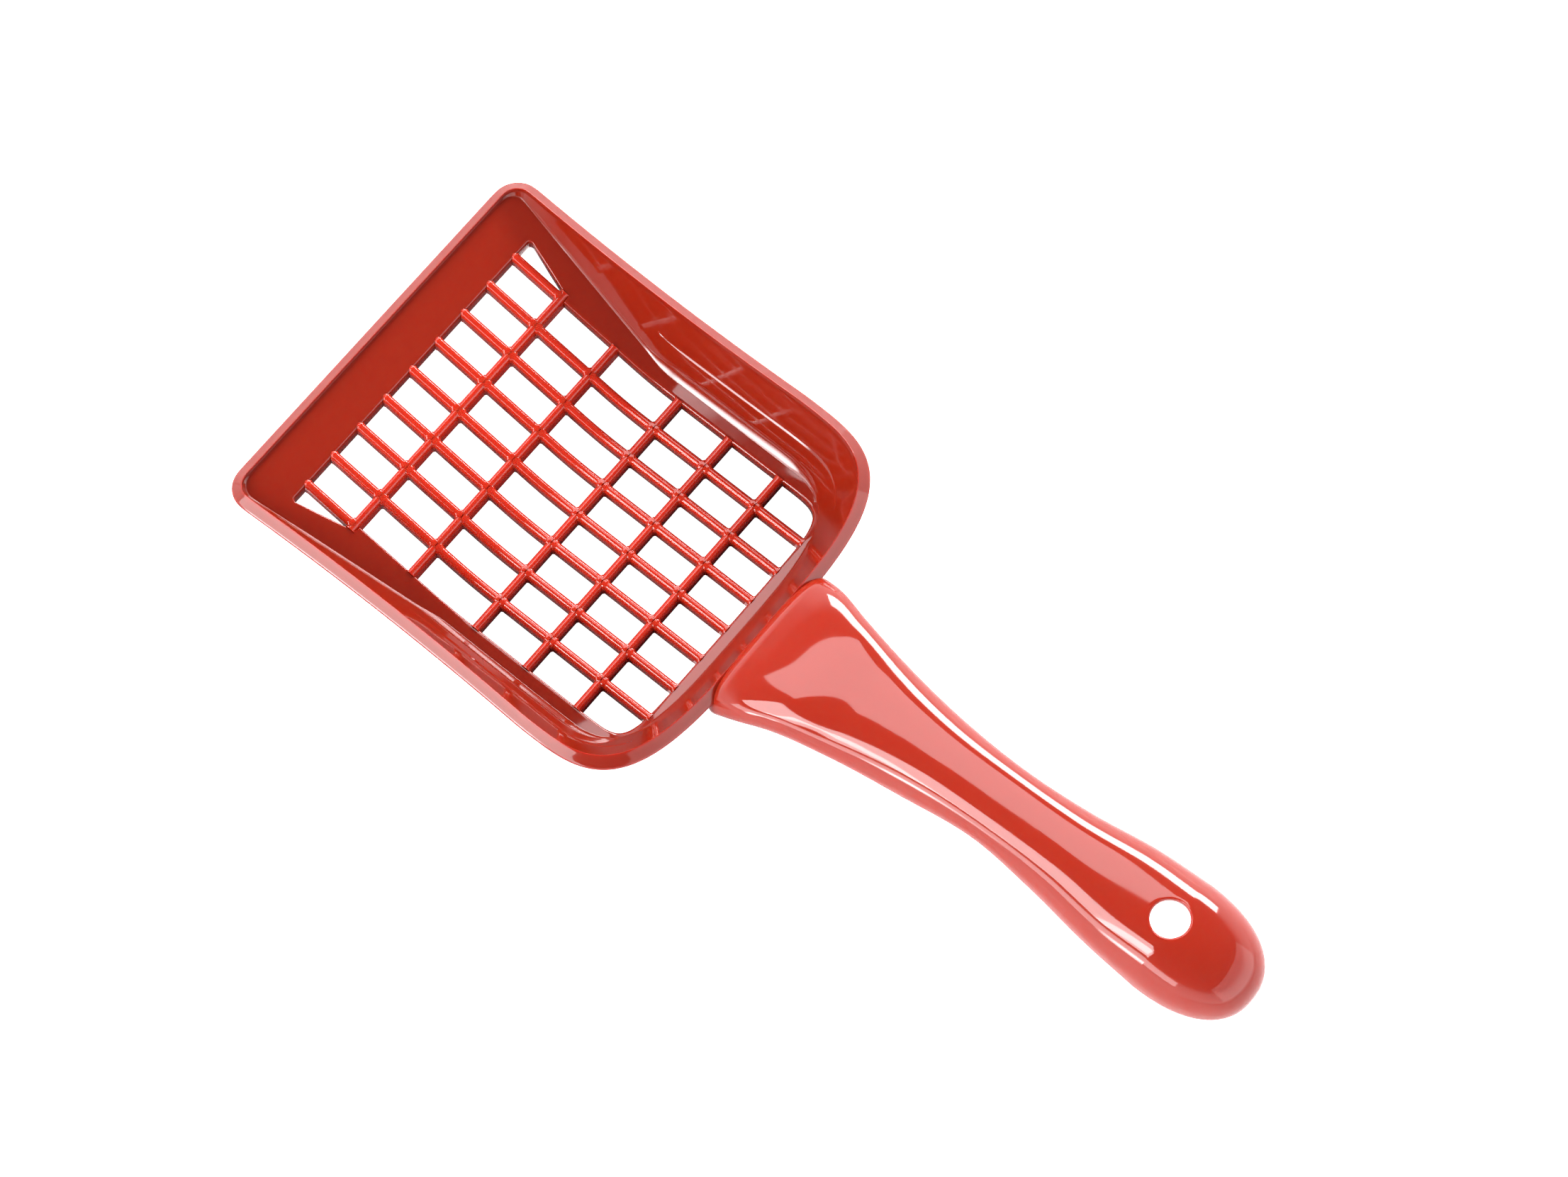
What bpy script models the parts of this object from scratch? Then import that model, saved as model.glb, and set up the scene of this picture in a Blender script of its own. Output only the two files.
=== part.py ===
"""Pet-litter scoop: one glossy plastic moulding, divided into the features that make it up.

The scoop stands on the undersides of its bars at z = 0 with its length along Y: the scooping lip
at -Y, the handle's end at +Y. Left is +X, as seen by someone who holds the handle. Every size is a
multiple of PITCH, the spacing of the long bars, and places along Y are counted back from the lip.
"""

import math

import bmesh
import bpy
from mathutils import Vector

PITCH = 0.0105
GAP = 0.0003 / PITCH

# Places along Y, in pitches back from the lip's outer edge.
LENGTH = 28.03
LIP_INNER = 0.28
WALLS_START = 0.5
SLOTS_START = 1.46
CROSS_BARS = (2.97, 4.76, 6.86, 8.52, 10.18)
BEND = 5.91
CORNERS_START = 9.71
SLOTS_END = 11.71
REAR_CREASE = 12.06
REAR_RIM_INNER = 12.84
REAR_RIM_OUTER = 13.12
HOLE_CENTRE = 25.43
HANDLE_END_CENTRE = 25.6

# Heights above the surface that the scoop rests on, in pitches.
BAR_DEPTH = 0.44
BAR_LAP = 0.22
FLOOR_BOTTOM = 0.2
FLOOR_TOP = 0.4
RIM_BOTTOM = 2.0
RIM_TOP = 2.27

# Other sizes, in pitches.
RAMP_SLOPE = 0.278
BEND_LENGTH = 1.4
BAR_WIDTH = 0.24
OUTERMOST_BAR = 4
OPENING_HALF = 3.94
FIRST_ROW_HALF = 4.12
FIRST_ROW_FLARE = 0.31
RIB_WIDTH = 0.16
CREASE_HALF = 4.4
CREASE_FLARE = 0.1625
RIM_WAIST_HALF = 5.53
RIM_WAIST_PLACE = 5.5
RIM_SWELL = 0.1
RIM_SWELL_REACH = 4.4
RIM_WIDTH = 0.28
WALL_THICKNESS = 0.21
FRONT_CORNER_RADIUS = 0.75
CORNER_POWER = 3.7
OPENING_POWER = 8
HOLE_RADIUS = 0.485
HANDLE_THICKNESS = 0.21
ARCH_POWER = 2.3
END_POWER = 2.3
ROOT_HALF = 2.14
ROOT_CORNER = 0.3

# The handle: place along Y, half width, height of its lower edge, height of its crown.
HANDLE_STATIONS = (
    (13.06, ROOT_HALF + 0.08, 1.5, 2.52),
    (13.7, 2.13, 1.93, 2.78),
    (14.65, 1.86, 2.28, 3.07),
    (16.2, 1.53, 2.5, 3.3),
    (18.2, 1.24, 2.7, 3.58),
    (20.45, 1.07, 3.18, 3.9),
    (22.2, 1.2, 3.22, 4.16),
    (24.1, 1.46, 3.35, 4.45),
    (HANDLE_END_CENTRE, 1.56, 3.32, 4.66),
)
NECK_START = 16.6
NECK_END = 22.0

RED = (0.62, 0.028, 0.012, 1.0)


def clear_scene():
    for thing in list(bpy.data.objects):
        bpy.data.objects.remove(thing, do_unlink=True)


def plastic(name):
    """Glossy red moulded plastic."""
    material = bpy.data.materials.new(name)
    material.use_nodes = True
    shader = material.node_tree.nodes["Principled BSDF"]
    shader.inputs["Base Color"].default_value = RED
    shader.inputs["Roughness"].default_value = 0.15
    shader.inputs["Metallic"].default_value = 0.0
    return material


def to_metres(point):
    """A point in pitches, with Y counted back from the lip, in the scoop's own frame."""
    x, y, z = point
    return Vector((x * PITCH, (y - LENGTH / 2) * PITCH, z * PITCH))


def swept(name, sections, smooth_angle=35.0):
    """A closed solid through sections, which are closed outlines with equally many points."""
    mesh = bmesh.new()
    rings = [[mesh.verts.new(to_metres(point)) for point in section] for section in sections]
    for ring, following in zip(rings, rings[1:]):
        for i in range(len(ring)):
            j = (i + 1) % len(ring)
            mesh.faces.new((ring[i], ring[j], following[j], following[i]))
    mesh.faces.new(rings[0])
    mesh.faces.new(rings[-1])
    bmesh.ops.remove_doubles(mesh, verts=mesh.verts, dist=1e-6)
    bmesh.ops.dissolve_degenerate(mesh, edges=mesh.edges, dist=1e-6)
    bmesh.ops.recalc_face_normals(mesh, faces=mesh.faces)
    data = bpy.data.meshes.new(name)
    mesh.to_mesh(data)
    mesh.free()
    data.shade_smooth()
    data.set_sharp_from_angle(angle=math.radians(smooth_angle))
    data.materials.append(plastic(name))
    node = bpy.data.objects.new(name, data)
    bpy.context.collection.objects.link(node)
    return node


def spread(start, end, count):
    """count + 1 evenly spaced values from start to end."""
    return [start + (end - start) * i / count for i in range(count + 1)]


def floor_rise(y):
    """How far the floor has risen at y: flat behind the bend, a straight ramp ahead of it."""
    ahead = BEND - y
    if ahead <= -BEND_LENGTH / 2:
        return 0.0
    if ahead >= BEND_LENGTH / 2:
        return RAMP_SLOPE * ahead
    return RAMP_SLOPE * (ahead + BEND_LENGTH / 2) ** 2 / (2 * BEND_LENGTH)


def rim_half(y):
    """Half the rim's outer width at y, along its sides: it draws in a little at mid length."""
    return RIM_WAIST_HALF + RIM_SWELL * ((y - RIM_WAIST_PLACE) / RIM_SWELL_REACH) ** 2


def crease_half(y):
    """Half the floor's width at y, between the feet of the side walls."""
    return CREASE_HALF + CREASE_FLARE * max(0.0, BEND - y)


def opening_half(y):
    """Half the width of the slotted area at y. The first row is wider and flares forwards."""
    first_bar = CROSS_BARS[0]
    if y < first_bar + BAR_WIDTH / 2 + GAP:
        return FIRST_ROW_HALF + FIRST_ROW_FLARE * max(0.0, first_bar - y)
    return OPENING_HALF


def round_corner(half, rear, power, angle):
    """A point of a rear corner, which is a quarter of a superellipse, at a polar angle."""
    c, s = math.cos(angle), math.sin(angle)
    reach = (c**power + s**power) ** (-1 / power)
    return half * reach * c, CORNERS_START + (rear - CORNERS_START) * reach * s


def plan_lines(y=None, angle=None):
    """Where the opening's edge, the crease and the rim's inner and outer edges lie at one place.

    The place is y along the side, or a polar angle in the rear corner.
    """
    if angle is None:
        outer = rim_half(y)
        return (opening_half(y), y), (crease_half(y), y), (outer - RIM_WIDTH, y), (outer, y)
    outer = rim_half(CORNERS_START)
    return (
        round_corner(OPENING_HALF, SLOTS_END, OPENING_POWER, angle),
        round_corner(CREASE_HALF, REAR_CREASE, CORNER_POWER, angle),
        round_corner(outer - RIM_WIDTH, REAR_RIM_INNER, CORNER_POWER, angle),
        round_corner(outer, REAR_RIM_OUTER, CORNER_POWER, angle),
    )


def mirrored(sections):
    return [[(-x, y, z) for x, y, z in section] for section in sections]


def both_sides(name, sections):
    """The left feature and its mirror image on the right."""
    swept(f"{name}_left", sections)
    swept(f"{name}_right", mirrored(sections))


def between(a, b, share):
    return a[0] + (b[0] - a[0]) * share, a[1] + (b[1] - a[1]) * share


def pushed(a, b, distance):
    """The point beyond a, on the way to b, at a distance."""
    length = math.hypot(b[0] - a[0], b[1] - a[1])
    return between(a, b, distance / length)


def floor_section(lines):
    """The floor's margin, from the slots' edge to the crease, with a rib down beside the slots."""
    opening, crease = lines[0], lines[1]
    inner = pushed(opening, crease, GAP / 2)
    rib = pushed(opening, crease, GAP / 2 + RIB_WIDTH)
    outer = pushed(crease, opening, GAP / 2)
    outline = (
        (inner, FLOOR_TOP),
        (outer, FLOOR_TOP),
        (outer, FLOOR_BOTTOM),
        (rib, FLOOR_BOTTOM),
        (rib, 0.0),
        (inner, 0.0),
    )
    return [(*place, z + floor_rise(place[1])) for place, z in outline]


def wall_section(lines):
    """The leaning wall, from the floor's edge up to the rim."""
    crease, rim_inner, rim_outer = lines[1:]
    foot = pushed(crease, rim_outer, GAP / 2)
    foot_outer = pushed(crease, rim_outer, GAP / 2 + WALL_THICKNESS)
    head_outer = pushed(rim_inner, rim_outer, WALL_THICKNESS)
    rise = floor_rise(crease[1])
    top = RIM_BOTTOM - GAP
    return [
        (*foot, FLOOR_BOTTOM + rise),
        (*foot, FLOOR_TOP + rise),
        (*rim_inner, top),
        (*head_outer, top),
        (*foot_outer, FLOOR_BOTTOM + rise),
    ]


def rim_section(inner, outer):
    """The rim's bead: a rounded crown that falls away outwards, flat underneath."""
    height = RIM_TOP - RIM_BOTTOM
    outline = (
        (0.0, 0.0),
        (0.0, 0.6),
        (0.12, 0.88),
        (0.35, 1.0),
        (0.6, 0.97),
        (0.86, 0.8),
        (1.0, 0.5),
        (0.95, 0.0),
    )
    return [(*between(inner, outer, w), RIM_BOTTOM + height * h) for w, h in outline]


def front_corner(radius, angle):
    """A point of the rounded front corner, at an angle turned from straight ahead to the side."""
    middle_x = rim_half(FRONT_CORNER_RADIUS) - FRONT_CORNER_RADIUS
    return (
        middle_x + radius * math.sin(angle),
        FRONT_CORNER_RADIUS - radius * math.cos(angle),
    )


def plate_half(y):
    """Half the front plate's width: to the crease, and round the inside of the front corners."""
    middle_x, _ = front_corner(0.0, 0.0)
    radius = FRONT_CORNER_RADIUS - LIP_INNER
    ahead = FRONT_CORNER_RADIUS - y
    if ahead > 0:
        return min(crease_half(y), middle_x + math.sqrt(max(0.0, radius**2 - ahead**2)))
    return crease_half(y)


def build_front_plate():
    """The solid strip between the lip and the first slots, with a rib down beside the slots."""
    rib = SLOTS_START - GAP - RIB_WIDTH
    places = [(y, FLOOR_BOTTOM) for y in spread(LIP_INNER + GAP, rib, 8)]
    places += [(rib + 1e-6, 0.0), (SLOTS_START - GAP, 0.0)]
    sections = []
    for y, bottom in places:
        half = plate_half(round(y, 5)) - GAP
        low, high = bottom + floor_rise(y), FLOOR_TOP + floor_rise(y)
        sections.append([(-half, y, high), (half, y, high), (half, y, low), (-half, y, low)])
    swept("front_plate", sections)


def build_front_lip():
    """The straight bead along the scooping edge."""
    reach, _ = front_corner(0.0, 0.0)
    sections = [
        rim_section((x, LIP_INNER), (x, 0.0)) for x in (-reach + GAP / 2, reach - GAP / 2)
    ]
    swept("front_lip", sections)


def build_rims():
    """The bead along each side, from the front corner round to the handle's root."""
    sections = []
    for angle in spread(0.0, math.pi / 2, 6):
        inner = front_corner(FRONT_CORNER_RADIUS - RIM_WIDTH, angle)
        outer = front_corner(FRONT_CORNER_RADIUS, angle)
        sections.append(rim_section(inner, outer))
    for y in spread(FRONT_CORNER_RADIUS + 0.5, CORNERS_START, 7):
        sections.append(rim_section(*plan_lines(y)[2:]))
    last = math.atan2(rim_half(CORNERS_START), ROOT_HALF + 2 * GAP)
    for angle in spread(0.0, last, 14)[1:]:
        sections.append(rim_section(*plan_lines(angle=angle)[2:]))
    both_sides("rim", sections)


def build_floor_margins():
    """The plain strips of floor beside and behind the slots."""
    first_bar_rear = CROSS_BARS[0] + BAR_WIDTH / 2
    places = [
        SLOTS_START + GAP,
        CROSS_BARS[0],
        first_bar_rear + 0.9 * GAP,
        first_bar_rear + 1.1 * GAP,
        CROSS_BARS[1],
        *spread(BEND - BEND_LENGTH / 2, BEND + BEND_LENGTH / 2, 4),
        CORNERS_START - GAP / 2,
    ]
    both_sides("floor", [floor_section(plan_lines(y)) for y in places])
    around = spread(0.0, math.pi, 28)
    sections = []
    for angle in around:
        section = floor_section(plan_lines(angle=min(angle, math.pi - angle)))
        sections.append(section if angle <= math.pi / 2 else mirrored([section])[0])
    swept("floor_rear", sections)


def build_walls():
    """The side walls, the two round rear corners and the rear wall between them."""
    places = [
        *spread(WALLS_START, BEND - BEND_LENGTH / 2, 5),
        *spread(BEND - BEND_LENGTH / 2, BEND + BEND_LENGTH / 2, 4)[1:],
        CORNERS_START - GAP / 2,
    ]
    both_sides("wall", [wall_section(plan_lines(y)) for y in places])
    turn = math.radians(62)
    corner = [wall_section(plan_lines(angle=angle)) for angle in spread(0.0, turn, 9)]
    both_sides("corner", corner)
    rear = [
        wall_section(plan_lines(angle=angle)) for angle in spread(turn + 0.002, math.pi / 2, 4)
    ]
    swept("wall_rear", rear + mirrored(rear[:-1])[::-1])


def bar_outline(half):
    """A bar's outline across its run: flat underneath, upright sides and a rounded top."""
    shoulder = BAR_DEPTH - 0.75 * half
    return (
        (-half, 0.0),
        (-half, shoulder),
        (-0.6 * half, BAR_DEPTH - 0.12 * half),
        (0.0, BAR_DEPTH),
        (0.6 * half, BAR_DEPTH - 0.12 * half),
        (half, shoulder),
        (half, 0.0),
    )


def long_bar_sections(x, start, end, crossings):
    """A long bar along the floor's bend, its top half notched where a cross bar passes over."""
    half_notch = BAR_WIDTH / 2 + GAP
    steps = spread(BEND - BEND_LENGTH / 2, BEND + BEND_LENGTH / 2, 6)
    places = [(y, False) for y in [start, *steps, end] if start <= y <= end]
    places = [
        (y, low)
        for y, low in places
        if all(abs(y - crossing) > half_notch for crossing in crossings)
    ]
    for crossing in crossings:
        front, rear = crossing - half_notch, crossing + half_notch
        places += [(front - 1e-6, False), (front, True), (rear, True), (rear + 1e-6, False)]
    sections = []
    for y, low in sorted(places):
        top = BAR_LAP - GAP / 2 if low else BAR_DEPTH
        rise = floor_rise(round(y, 5))
        outline = bar_outline(BAR_WIDTH / 2)
        sections.append([(x + u, round(y, 5), min(z, top) + rise) for u, z in outline])
    return sections


def build_long_bars():
    """Seven bars through all the rows, and one more at each side of the first row."""
    start, end = SLOTS_START + GAP, SLOTS_END - 2 * GAP
    xs = range(-OUTERMOST_BAR, OUTERMOST_BAR + 1)
    for number, x in enumerate(xs, start=1):
        short = abs(x) == OUTERMOST_BAR
        rear = CROSS_BARS[0] - BAR_WIDTH / 2 - GAP if short else end
        crossings = () if short else CROSS_BARS
        swept(f"long_bar_{number}", long_bar_sections(x, start, rear, crossings))


def build_cross_bars():
    """Five bars across, each notched underneath where it passes over a long bar."""
    half_notch = BAR_WIDTH / 2 + GAP
    for number, y in enumerate(CROSS_BARS, start=1):
        reach = FIRST_ROW_HALF if number == 1 else OPENING_HALF
        places = [(-reach + GAP, False), (reach - GAP, False)]
        for x in range(1 - OUTERMOST_BAR, OUTERMOST_BAR):
            places += [
                (x - half_notch - 1e-6, False),
                (x - half_notch, True),
                (x + half_notch, True),
                (x + half_notch + 1e-6, False),
            ]
        sections = []
        for x, high in sorted(places):
            bottom = BAR_LAP + GAP / 2 if high else 0.0
            outline = bar_outline(BAR_WIDTH / 2)
            sections.append(
                [(round(x, 5), y + u, max(z, bottom) + floor_rise(y + u)) for u, z in outline]
            )
        swept(f"cross_bar_{number}", sections)


def handle_values(y):
    """The handle's half width, lower edge and crown at y, on smooth curves through its stations."""
    stations = HANDLE_STATIONS
    last = len(stations) - 1
    k = max(i for i in range(last) if i == 0 or stations[i][0] <= y)
    before, a, b, after = (stations[min(max(k + i, 0), last)] for i in (-1, 0, 1, 2))
    t = min(max((y - a[0]) / (b[0] - a[0]), 0.0), 1.0)
    values = []
    for p0, p1, p2, p3 in list(zip(before, a, b, after))[1:]:
        span = b[0] - a[0]
        m1 = (p2 - p0) / (b[0] - before[0]) * span
        m2 = (p3 - p1) / (after[0] - a[0]) * span
        values.append(
            (2 * t**3 - 3 * t**2 + 1) * p1
            + (t**3 - 2 * t**2 + t) * m1
            + (3 * t**2 - 2 * t**3) * p2
            + (t**3 - t**2) * m2
        )
    return values


def arch(half, bottom, top, y, count=12):
    """An arch from the left lower edge over the crown to the right one, as part of a section."""
    points = []
    for angle in spread(0.0, math.pi, count):
        c, s = math.cos(angle), math.sin(angle)
        x = math.copysign(abs(c) ** (2 / ARCH_POWER), c) * half
        points.append((x, y, bottom + (top - bottom) * max(s, 0.0) ** (2 / ARCH_POWER)))
    return points


def handle_section(y, half=None):
    """The handle's shell across its run: the arch outside and, within it, the hollow's arch."""
    full_half, bottom, top = handle_values(y)
    half = half or full_half
    inner = arch(half - HANDLE_THICKNESS, bottom, top - HANDLE_THICKNESS, y)
    return arch(half, bottom, top, y) + inner[::-1]


def build_handle_root():
    """The flared root: its top covers the rear rim, and its skirts run down behind the wall."""
    seat = RIM_BOTTOM + GAP
    lean = (REAR_RIM_INNER - REAR_CREASE) / (RIM_BOTTOM - FLOOR_TOP)
    behind_wall = REAR_RIM_INNER + WALL_THICKNESS + 1.5 * GAP
    sections = []
    for share in (0.0, 0.3, 0.65, 1.0):
        half = ROOT_HALF - ROOT_CORNER * (1 - math.sqrt(1 - (1 - share) ** 2))
        y = REAR_RIM_INNER + (behind_wall - REAR_RIM_INNER) * share
        section = handle_section(y, half)
        sections.append([(x, y, max(z, seat)) for x, y, z in section])
    first = handle_section(behind_wall)
    sections.append([(x, y - lean * max(0.0, seat - z), z) for x, y, z in first])
    for y in spread(behind_wall + 0.35, NECK_START - GAP / 2, 6):
        sections.append(handle_section(y))
    swept("handle_root", sections)


def build_handle_neck():
    """The narrow stretch."""
    places = spread(NECK_START + GAP / 2, NECK_END - GAP / 2, 8)
    swept("handle_neck", [handle_section(y) for y in places])


def handle_end_section(turn):
    """The shell across the rounded end, where the arch closes down towards the tip."""
    half, bottom, top = handle_values(HANDLE_END_CENTRE)
    forward = math.sin(turn) ** (2 / END_POWER)
    closing = max(math.cos(turn), 0.0) ** (2 / END_POWER)
    reach = LENGTH - HANDLE_END_CENTRE
    outer_y = HANDLE_END_CENTRE + reach * forward
    inner_y = HANDLE_END_CENTRE + (reach - HANDLE_THICKNESS) * forward
    outer = arch(half * closing, bottom, bottom + (top - bottom) * closing, outer_y)
    inner_half = (half - HANDLE_THICKNESS) * closing
    inner_top = bottom + (top - HANDLE_THICKNESS - bottom) * closing
    return outer + arch(inner_half, bottom, inner_top, inner_y)[::-1]


def build_handle_grip():
    """The swollen grip with its rounded end and the hanging hole through its crown."""
    sections = [handle_section(y) for y in spread(NECK_END + GAP / 2, HANDLE_END_CENTRE, 6)]
    sections += [handle_end_section(turn) for turn in spread(0.0, math.pi / 2, 9)[1:]]
    grip = swept("handle_grip", sections)
    bpy.ops.mesh.primitive_cylinder_add(
        vertices=32,
        radius=HOLE_RADIUS * PITCH,
        depth=6 * PITCH,
        location=to_metres((0.0, HOLE_CENTRE, HANDLE_STATIONS[-1][3])),
    )
    cutter = bpy.context.object
    cutter.name = "hanging_hole_cutter"
    cutter.hide_render = True
    cutter.display_type = "WIRE"
    cut = grip.modifiers.new("hanging_hole", "BOOLEAN")
    cut.operation = "DIFFERENCE"
    cut.object = cutter


def main():
    clear_scene()
    build_front_plate()
    build_front_lip()
    build_rims()
    build_floor_margins()
    build_walls()
    build_long_bars()
    build_cross_bars()
    build_handle_root()
    build_handle_neck()
    build_handle_grip()


main()
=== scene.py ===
"""Looks of a one-piece plastic litter scoop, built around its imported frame.

Lengths in this file are in pitches, the spacing of the pan's long bars, and places along the scoop
are counted back from the outer edge of the scooping lip. Layout.metres turns a point into the
frame's metres. Left is +X, as seen by someone who holds the handle.
"""

from __future__ import annotations

import logging
import math
from dataclasses import dataclass
from enum import Enum

import bpy
import numpy as np
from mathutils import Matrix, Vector


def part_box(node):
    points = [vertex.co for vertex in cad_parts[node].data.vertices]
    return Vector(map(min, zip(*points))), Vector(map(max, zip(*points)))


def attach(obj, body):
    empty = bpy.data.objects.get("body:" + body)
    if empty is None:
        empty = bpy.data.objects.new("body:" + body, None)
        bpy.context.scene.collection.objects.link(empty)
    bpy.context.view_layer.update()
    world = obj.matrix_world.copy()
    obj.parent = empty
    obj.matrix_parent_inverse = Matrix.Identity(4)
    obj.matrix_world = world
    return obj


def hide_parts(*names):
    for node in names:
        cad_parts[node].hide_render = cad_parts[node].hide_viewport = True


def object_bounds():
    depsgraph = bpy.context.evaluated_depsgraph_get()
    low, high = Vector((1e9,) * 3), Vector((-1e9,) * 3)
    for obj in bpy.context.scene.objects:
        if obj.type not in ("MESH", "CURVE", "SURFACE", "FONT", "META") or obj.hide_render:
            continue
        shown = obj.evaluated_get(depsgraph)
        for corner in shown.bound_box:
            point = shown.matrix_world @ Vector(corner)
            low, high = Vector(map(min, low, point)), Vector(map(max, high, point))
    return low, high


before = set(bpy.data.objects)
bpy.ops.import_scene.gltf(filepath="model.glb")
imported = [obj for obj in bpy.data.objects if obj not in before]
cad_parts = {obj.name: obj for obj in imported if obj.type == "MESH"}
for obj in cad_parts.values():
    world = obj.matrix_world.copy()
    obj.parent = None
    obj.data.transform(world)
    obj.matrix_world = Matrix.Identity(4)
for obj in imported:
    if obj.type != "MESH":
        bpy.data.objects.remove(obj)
CAD_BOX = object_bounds()

BODY = "root"
SHARP_ANGLE = math.radians(50)
TINY = 1e-6
LOG = logging.getLogger("litter_scoop")


class Run(Enum):
    """Which way a bar of the pan's grid runs."""

    LONG = "long"
    CROSS = "cross"


def spread(start: float, end: float, count: int) -> np.ndarray:
    """Evenly spaced values.

    Args:
        start: The first value.
        end: The last value.
        count: How many steps there are between them.

    Returns:
        An array of count + 1 values.
    """
    return np.linspace(start, end, count + 1)


def soft_step(x: np.ndarray, start: float, end: float) -> np.ndarray:
    """A smooth change from 0 to 1.

    Args:
        x: Where the change is read.
        start: Where it begins.
        end: Where it is complete.

    Returns:
        The change at each x.
    """
    t = np.clip((np.asarray(x, float) - start) / (end - start), 0.0, 1.0)
    return t * t * (3 - 2 * t)


def superellipse(u: np.ndarray, power: float | np.ndarray) -> np.ndarray:
    """The height of a superellipse of unit height at u, which runs from -1 to 1.

    Args:
        u: Place across the superellipse.
        power: Its exponent: 2 is a circle, and more is squarer.

    Returns:
        The height at each u.
    """
    return np.maximum(0.0, 1 - np.abs(u) ** power) ** (1 / power)


def between(a: np.ndarray, b: np.ndarray, share: float) -> np.ndarray:
    """Points at a share of the way from a to b."""
    return a + (b - a) * share


def curve(a: np.ndarray, b: np.ndarray, c: np.ndarray, share: float) -> np.ndarray:
    """Points on a quadratic curve that leaves a and arrives at c along its lines through b.

    Args:
        a: Where the curve starts.
        b: Where the two lines meet.
        c: Where the curve ends.
        share: How far along the curve the points are.

    Returns:
        The points.
    """
    return between(between(a, b, share), between(b, c, share), share)


@dataclass(frozen=True)
class Layout:
    """Places and heights that the frame gives, in pitches, with the curves worked out from them."""

    pitch: float
    front: float
    length: float
    lip_inner: float
    slots_start: float
    slots_end: float
    cross_bars: tuple[float, ...]
    corners_start: float
    rear_crease: float
    rear_rim_inner: float
    rim_bottom: float
    rim_top: float
    floor_top: float
    bar_depth: float
    bar_width: float
    floor_bottom: float = 0.2
    rim_width: float = 0.28
    bend: float = 5.91
    bend_length: float = 1.4
    ramp_slope: float = 0.278
    opening: float = 3.94
    first_row: float = 4.12
    first_row_flare: float = 0.31
    crease: float = 4.4
    crease_flare: float = 0.1625
    rim_waist: float = 5.53
    rim_waist_place: float = 5.5
    rim_swell: float = 0.1
    rim_swell_reach: float = 4.4
    front_corner: float = 0.75
    corner_power: float = 3.7
    opening_power: float = 8.0

    @classmethod
    def from_frame(cls) -> Layout:
        """Reads the layout from the boxes of the frame's nodes.

        Returns:
            The scoop's layout.
        """
        centre = {n: (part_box(n)[0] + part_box(n)[1]) / 2 for n in ("long_bar_5", "long_bar_6")}
        pitch = abs(centre["long_bar_6"].x - centre["long_bar_5"].x)
        front, rear = CAD_BOX[0].y, CAD_BOX[1].y
        gap = 0.0003 / pitch

        def back(node: str, end: int) -> float:
            """How far back the front (0) or the rear (1) of a node's box is."""
            return (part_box(node)[end].y - front) / pitch

        bars = [f"cross_bar_{number}" for number in range(1, 6)]
        last_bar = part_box(bars[-1])
        return cls(
            pitch=pitch,
            front=front,
            length=(rear - front) / pitch,
            lip_inner=back("front_lip", 1),
            slots_start=back("front_plate", 1) + gap,
            slots_end=back("long_bar_5", 1) + 2 * gap,
            cross_bars=tuple((back(bar, 0) + back(bar, 1)) / 2 for bar in bars),
            corners_start=back("floor_rear", 0),
            rear_crease=back("floor_rear", 1) + gap / 2,
            rear_rim_inner=back("handle_root", 0),
            rim_bottom=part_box("front_lip")[0].z / pitch,
            rim_top=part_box("front_lip")[1].z / pitch,
            floor_top=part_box("floor_rear")[1].z / pitch,
            bar_depth=last_bar[1].z / pitch,
            bar_width=(last_bar[1].y - last_bar[0].y) / pitch,
        )

    def metres(self, points: np.ndarray) -> np.ndarray:
        """Turns points in pitches, with Y counted back from the lip, into the frame's metres."""
        return points * self.pitch + np.array((0.0, self.front, 0.0))

    def rise(self, y: np.ndarray | float) -> np.ndarray:
        """The floor's rise, which is nothing behind the bend and a straight ramp ahead of it.

        Args:
            y: Where it is read.

        Returns:
            How far the floor has risen at each y.
        """
        ahead = self.bend - np.asarray(y, float)
        inside = np.clip(ahead + self.bend_length / 2, 0.0, self.bend_length)
        curved = self.ramp_slope * inside**2 / (2 * self.bend_length)
        return curved + self.ramp_slope * np.maximum(0.0, ahead - self.bend_length / 2)

    def rim_half(self, y: np.ndarray | float) -> np.ndarray:
        """Half the rim's outer width at y, along its sides."""
        swell = (np.asarray(y, float) - self.rim_waist_place) / self.rim_swell_reach
        return self.rim_waist + self.rim_swell * swell**2

    def crease_half(self, y: np.ndarray | float) -> np.ndarray:
        """Half the floor's width at y, between the feet of the side walls."""
        return self.crease + self.crease_flare * np.maximum(0.0, self.bend - np.asarray(y, float))

    def opening_half(self, y: np.ndarray | float) -> np.ndarray:
        """Half the width of the slotted area, whose first row is wider and flares forwards.

        Args:
            y: Where it is read.

        Returns:
            The half width at each y.
        """
        y = np.asarray(y, float)
        first = self.cross_bars[0]
        flared = self.first_row + self.first_row_flare * np.maximum(0.0, first - y)
        return np.where(y < first + self.bar_width / 2, flared, self.opening)

    def rear_corner(self, half: float, rear: float, power: float, angle: np.ndarray) -> np.ndarray:
        """Points of a rear corner, which is a quarter of a superellipse, at polar angles.

        Args:
            half: Half the width where the corner starts.
            rear: How far back it reaches at the middle.
            power: The superellipse's exponent.
            angle: Polar angles, from 0 at the side to a right angle at the middle.

        Returns:
            One (x, y) row for each angle.
        """
        c, s = np.cos(angle), np.maximum(np.sin(angle), 0.0)
        c = np.maximum(c, 0.0)
        reach = (c**power + s**power) ** (-1 / power)
        start = self.corners_start
        return np.stack([half * reach * c, start + (rear - start) * reach * s], axis=1)


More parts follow.
